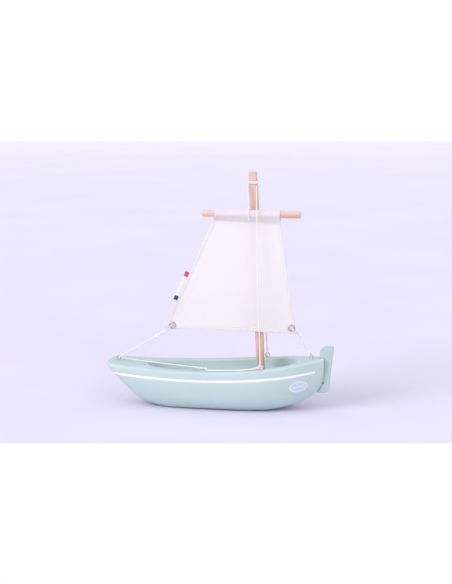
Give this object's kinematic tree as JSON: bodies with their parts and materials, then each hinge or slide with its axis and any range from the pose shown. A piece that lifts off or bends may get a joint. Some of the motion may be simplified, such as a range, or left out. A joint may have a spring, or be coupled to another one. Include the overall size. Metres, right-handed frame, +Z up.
{
  "type": "toy sailing boat",
  "caption": "Carved wooden toy sailing boat with an open cockpit, square mast, one sail slung from a yard, cord rigging and a hung rudder.",
  "frame": {"origin": "centre of the overall box, on the surface that the flat bottom stands on", "axes": "+X towards the stern, +Y to starboard, +Z up"},
  "size_m": [0.2272, 0.0682, 0.235],
  "materials": {
    "hull_paint": "thin satin light-blue paint over carved wood",
    "beech": "bare sanded wood, square bar",
    "dowel": "bare sanded wood dowel",
    "cotton": "plain-weave cotton",
    "cord": "twisted cotton cord",
    "ribbon": "satin ribbon, two plain coloured squares",
    "nickel": "nickel plate, slightly worn",
    "brass": "satin",
    "steel": "turned, unpolished"
  },
  "bodies": {
    "hull": {"hull": "hull_paint", "ballast_slug": "steel", "ballast_plug": "hull_paint", "mast": "beech", "masthead_lashing": "cord", "bow_screw_eye": "nickel", "stern_screw_eye": "nickel", "port_screw_eye": "nickel", "starboard_screw_eye": "nickel", "rudder_eye_lower": "brass", "rudder_eye_upper": "brass", "tack_eyelet": "nickel", "tack_eyelet_washer": "nickel", "clew_eyelet": "nickel", "clew_eyelet_washer": "nickel", "port_shroud": "cord", "starboard_shroud": "cord", "port_hitch": "cord", "starboard_hitch": "cord", "bow_hitch": "cord", "stern_hitch": "cord", "foredeck_line": "cord", "rim_knot": "cord", "rim_lanyard": "cord", "tack_bight": "cord", "tack_knot": "cord", "tack_line": "cord", "clew_bight": "cord", "clew_knot": "cord", "sheet_line": "cord", "sheet_tail": "cord", "sheet_tail_knot": "cord", "yard_sling": "cord"},
    "yard": {"yard": "dowel", "sail": "cotton", "sail_tag": "ribbon", "yard_lashing": "cord"},
    "rudder": {"rudder": "hull_paint", "rudder_pin": "brass"}
  },
  "joints": [
    {"name": "rudder_swing", "type": "hinge", "parent": "hull", "child": "rudder", "pos_m": [0.1024, 0, 0.038], "axis": [0, 0, 1], "range_deg": [-35, 35]},
    {"name": "yard_swing", "type": "hinge", "parent": "hull", "child": "yard", "pos_m": [0.0343, 0, 0.1952], "axis": [-0.0443, 0, 0.999], "range_deg": [-15, 15], "deforming": ["sail", "sail_tag", "yard_sling"]}
  ]
}
